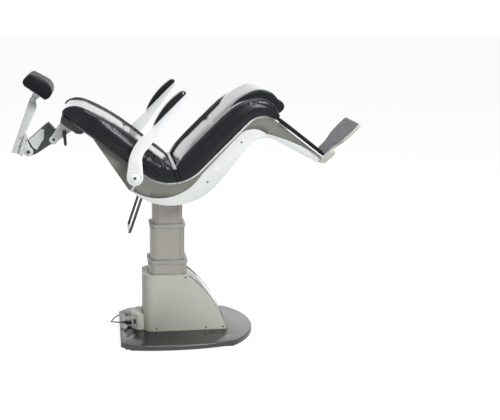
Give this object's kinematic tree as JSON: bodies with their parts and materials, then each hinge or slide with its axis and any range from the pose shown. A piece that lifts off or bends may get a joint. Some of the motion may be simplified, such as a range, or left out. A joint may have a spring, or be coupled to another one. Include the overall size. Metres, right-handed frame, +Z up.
{
  "type": "examination chair",
  "caption": "Reclining examination chair: black upholstery on a curved shell over a telescopic column, flip-up arms, folding footrest and jointed headrest.",
  "frame": {"origin": "on the floor at the centre of the four anchor holes, under the swivel axis of the column", "axes": "+X the way the patient faces, +Y the patient's left, +Z up; the seat is stored tilted right back with the column nearly at full height"},
  "size_m": [1.8371, 0.7935, 1.4314],
  "materials": {
    "beige_paint": "satin powder coat",
    "light_paint": "satin powder coat",
    "white_paint": "satin paint",
    "dark_paint": "satin paint",
    "black_gloss": "high gloss",
    "base_black": "high gloss paint",
    "satin_aluminium": "brushed satin",
    "collar_grey": "fine texture",
    "guide_plastic": "smooth",
    "steel": "machined",
    "vinyl": "semi-gloss vinyl",
    "black_plastic": "fine texture",
    "pad_rubber": "matt",
    "mat_grey": "ribbed",
    "lead_sheath": "matt"
  },
  "bodies": {
    "base": {"base_plate": "base_black", "floor_pads": "pad_rubber", "pedestal_cover": "beige_paint", "pedestal_front_panel": "black_gloss", "pedestal_screws": "steel", "inlet_box": "beige_paint", "inlet_socket": "black_plastic", "column_outer": "satin_aluminium", "column_lower_collar": "collar_grey", "ram_cylinder": "steel", "lift_pump": "black_plastic", "mains_connector": "black_plastic", "mains_lead": "lead_sheath", "lead_coil": "lead_sheath", "mains_plug": "black_plastic"},
    "rocker": {"power_rocker": "black_plastic"},
    "column_middle_stage": {"column_middle": "satin_aluminium", "column_upper_collar": "collar_grey", "middle_guide_pads": "guide_plastic"},
    "column_inner_stage": {"column_inner": "satin_aluminium", "inner_guide_pads": "guide_plastic", "ram_rod": "steel", "swivel_race": "steel"},
    "head": {"swivel_head": "dark_paint", "tilt_shoes": "guide_plastic"},
    "handle": {"release_handle": "black_gloss"},
    "seat": {"seat_deck": "white_paint", "side_plate_right": "light_paint", "side_plate_left": "light_paint", "side_flare_right": "beige_paint", "side_flare_left": "beige_paint", "plate_screws": "steel", "tilt_rails": "steel", "back_bracket_right": "beige_paint", "back_bracket_left": "beige_paint", "back_pan": "black_plastic", "back_panel": "vinyl", "back_bolster_right": "vinyl", "back_bolster_left": "vinyl", "seat_panel": "vinyl", "seat_bolster_right": "vinyl", "seat_bolster_left": "vinyl", "leg_pad": "vinyl", "arm_pivots": "white_paint", "footrest_bracket": "beige_paint", "headrest_block": "dark_paint"},
    "arm_right": {"arm_bar_right": "white_paint", "arm_pad_right": "black_plastic"},
    "arm_left": {"arm_bar_left": "white_paint", "arm_pad_left": "black_plastic"},
    "footrest": {"footrest_tray": "beige_paint", "footrest_mat": "mat_grey"},
    "headrest_slider": {"headrest_carriage": "white_paint"},
    "clamp_lever": {"headrest_lever": "black_plastic"},
    "headrest_arm": {"headrest_link": "dark_paint"},
    "headrest_post": {"headrest_clevis": "beige_paint", "headrest_stem": "light_paint"},
    "headrest": {"headrest_back_plate": "light_paint", "headrest_pad": "vinyl"}
  },
  "joints": [
    {"name": "lift_lower", "type": "slide", "parent": "base", "child": "column_middle_stage", "axis": [0, 0, 1], "range_m": [-0.12, 0]},
    {"name": "lift_upper", "type": "slide", "parent": "column_middle_stage", "child": "column_inner_stage", "axis": [0, 0, 1], "range_m": [-0.12, 0]},
    {"name": "swivel", "type": "hinge", "parent": "column_inner_stage", "child": "head", "pos_m": [0, 0, 0.8], "axis": [0, 0, 1], "range_deg": [-175, 175]},
    {"name": "tilt", "type": "hinge", "parent": "head", "child": "seat", "pos_m": [0.01, 0, 1.075], "axis": [0, 1, 0], "range_deg": [0, 45]},
    {"name": "release", "type": "hinge", "parent": "head", "child": "handle", "pos_m": [-0.062, 0, 0.837], "axis": [0, 1, 0], "range_deg": [0, 10], "stiffness_Nm_per_rad": 12},
    {"name": "arm_right_flip", "type": "hinge", "parent": "seat", "child": "arm_right", "pos_m": [-0.18233, -0.32, 0.93499], "axis": [0, 1, 0], "range_deg": [-95, 0]},
    {"name": "arm_left_flip", "type": "hinge", "parent": "seat", "child": "arm_left", "pos_m": [-0.18233, 0.32, 0.93499], "axis": [0, 1, 0], "range_deg": [-95, 0]},
    {"name": "footrest_fold", "type": "hinge", "parent": "seat", "child": "footrest", "pos_m": [0.88116, 0, 1.00146], "axis": [0, 1, 0], "range_deg": [-88, 0]},
    {"name": "headrest_height", "type": "slide", "parent": "seat", "child": "headrest_slider", "axis": [-0.8049, 0, 0.5934], "range_m": [-0.02, 0.06]},
    {"name": "headrest_shoulder", "type": "hinge", "parent": "headrest_slider", "child": "headrest_arm", "pos_m": [-0.59387, 0, 1.08066], "axis": [0, 1, 0], "range_deg": [-30, 12]},
    {"name": "headrest_elbow", "type": "hinge", "parent": "headrest_arm", "child": "headrest_post", "pos_m": [-0.72186, 0, 1.02055], "axis": [0, 1, 0], "range_deg": [-35, 5]},
    {"name": "headrest_nod", "type": "hinge", "parent": "headrest_post", "child": "headrest", "pos_m": [-0.69216, 0, 1.2935], "axis": [0, 1, 0], "range_deg": [-25, 30]},
    {"name": "clamp_turn", "type": "hinge", "parent": "headrest_slider", "child": "clamp_lever", "pos_m": [-0.53589, -0.04, 1.12308], "axis": [0, 1, 0], "range_deg": [0, 40]},
    {"name": "power_rock", "type": "hinge", "parent": "base", "child": "rocker", "pos_m": [-0.17788, -0.04588, 0.076], "axis": [0.7071, -0.7071, 0], "range_deg": [-5, 5]}
  ],
  "couplings": [
    {"joint": "lift_upper", "follows": "lift_lower", "ratio": 1}
  ]
}
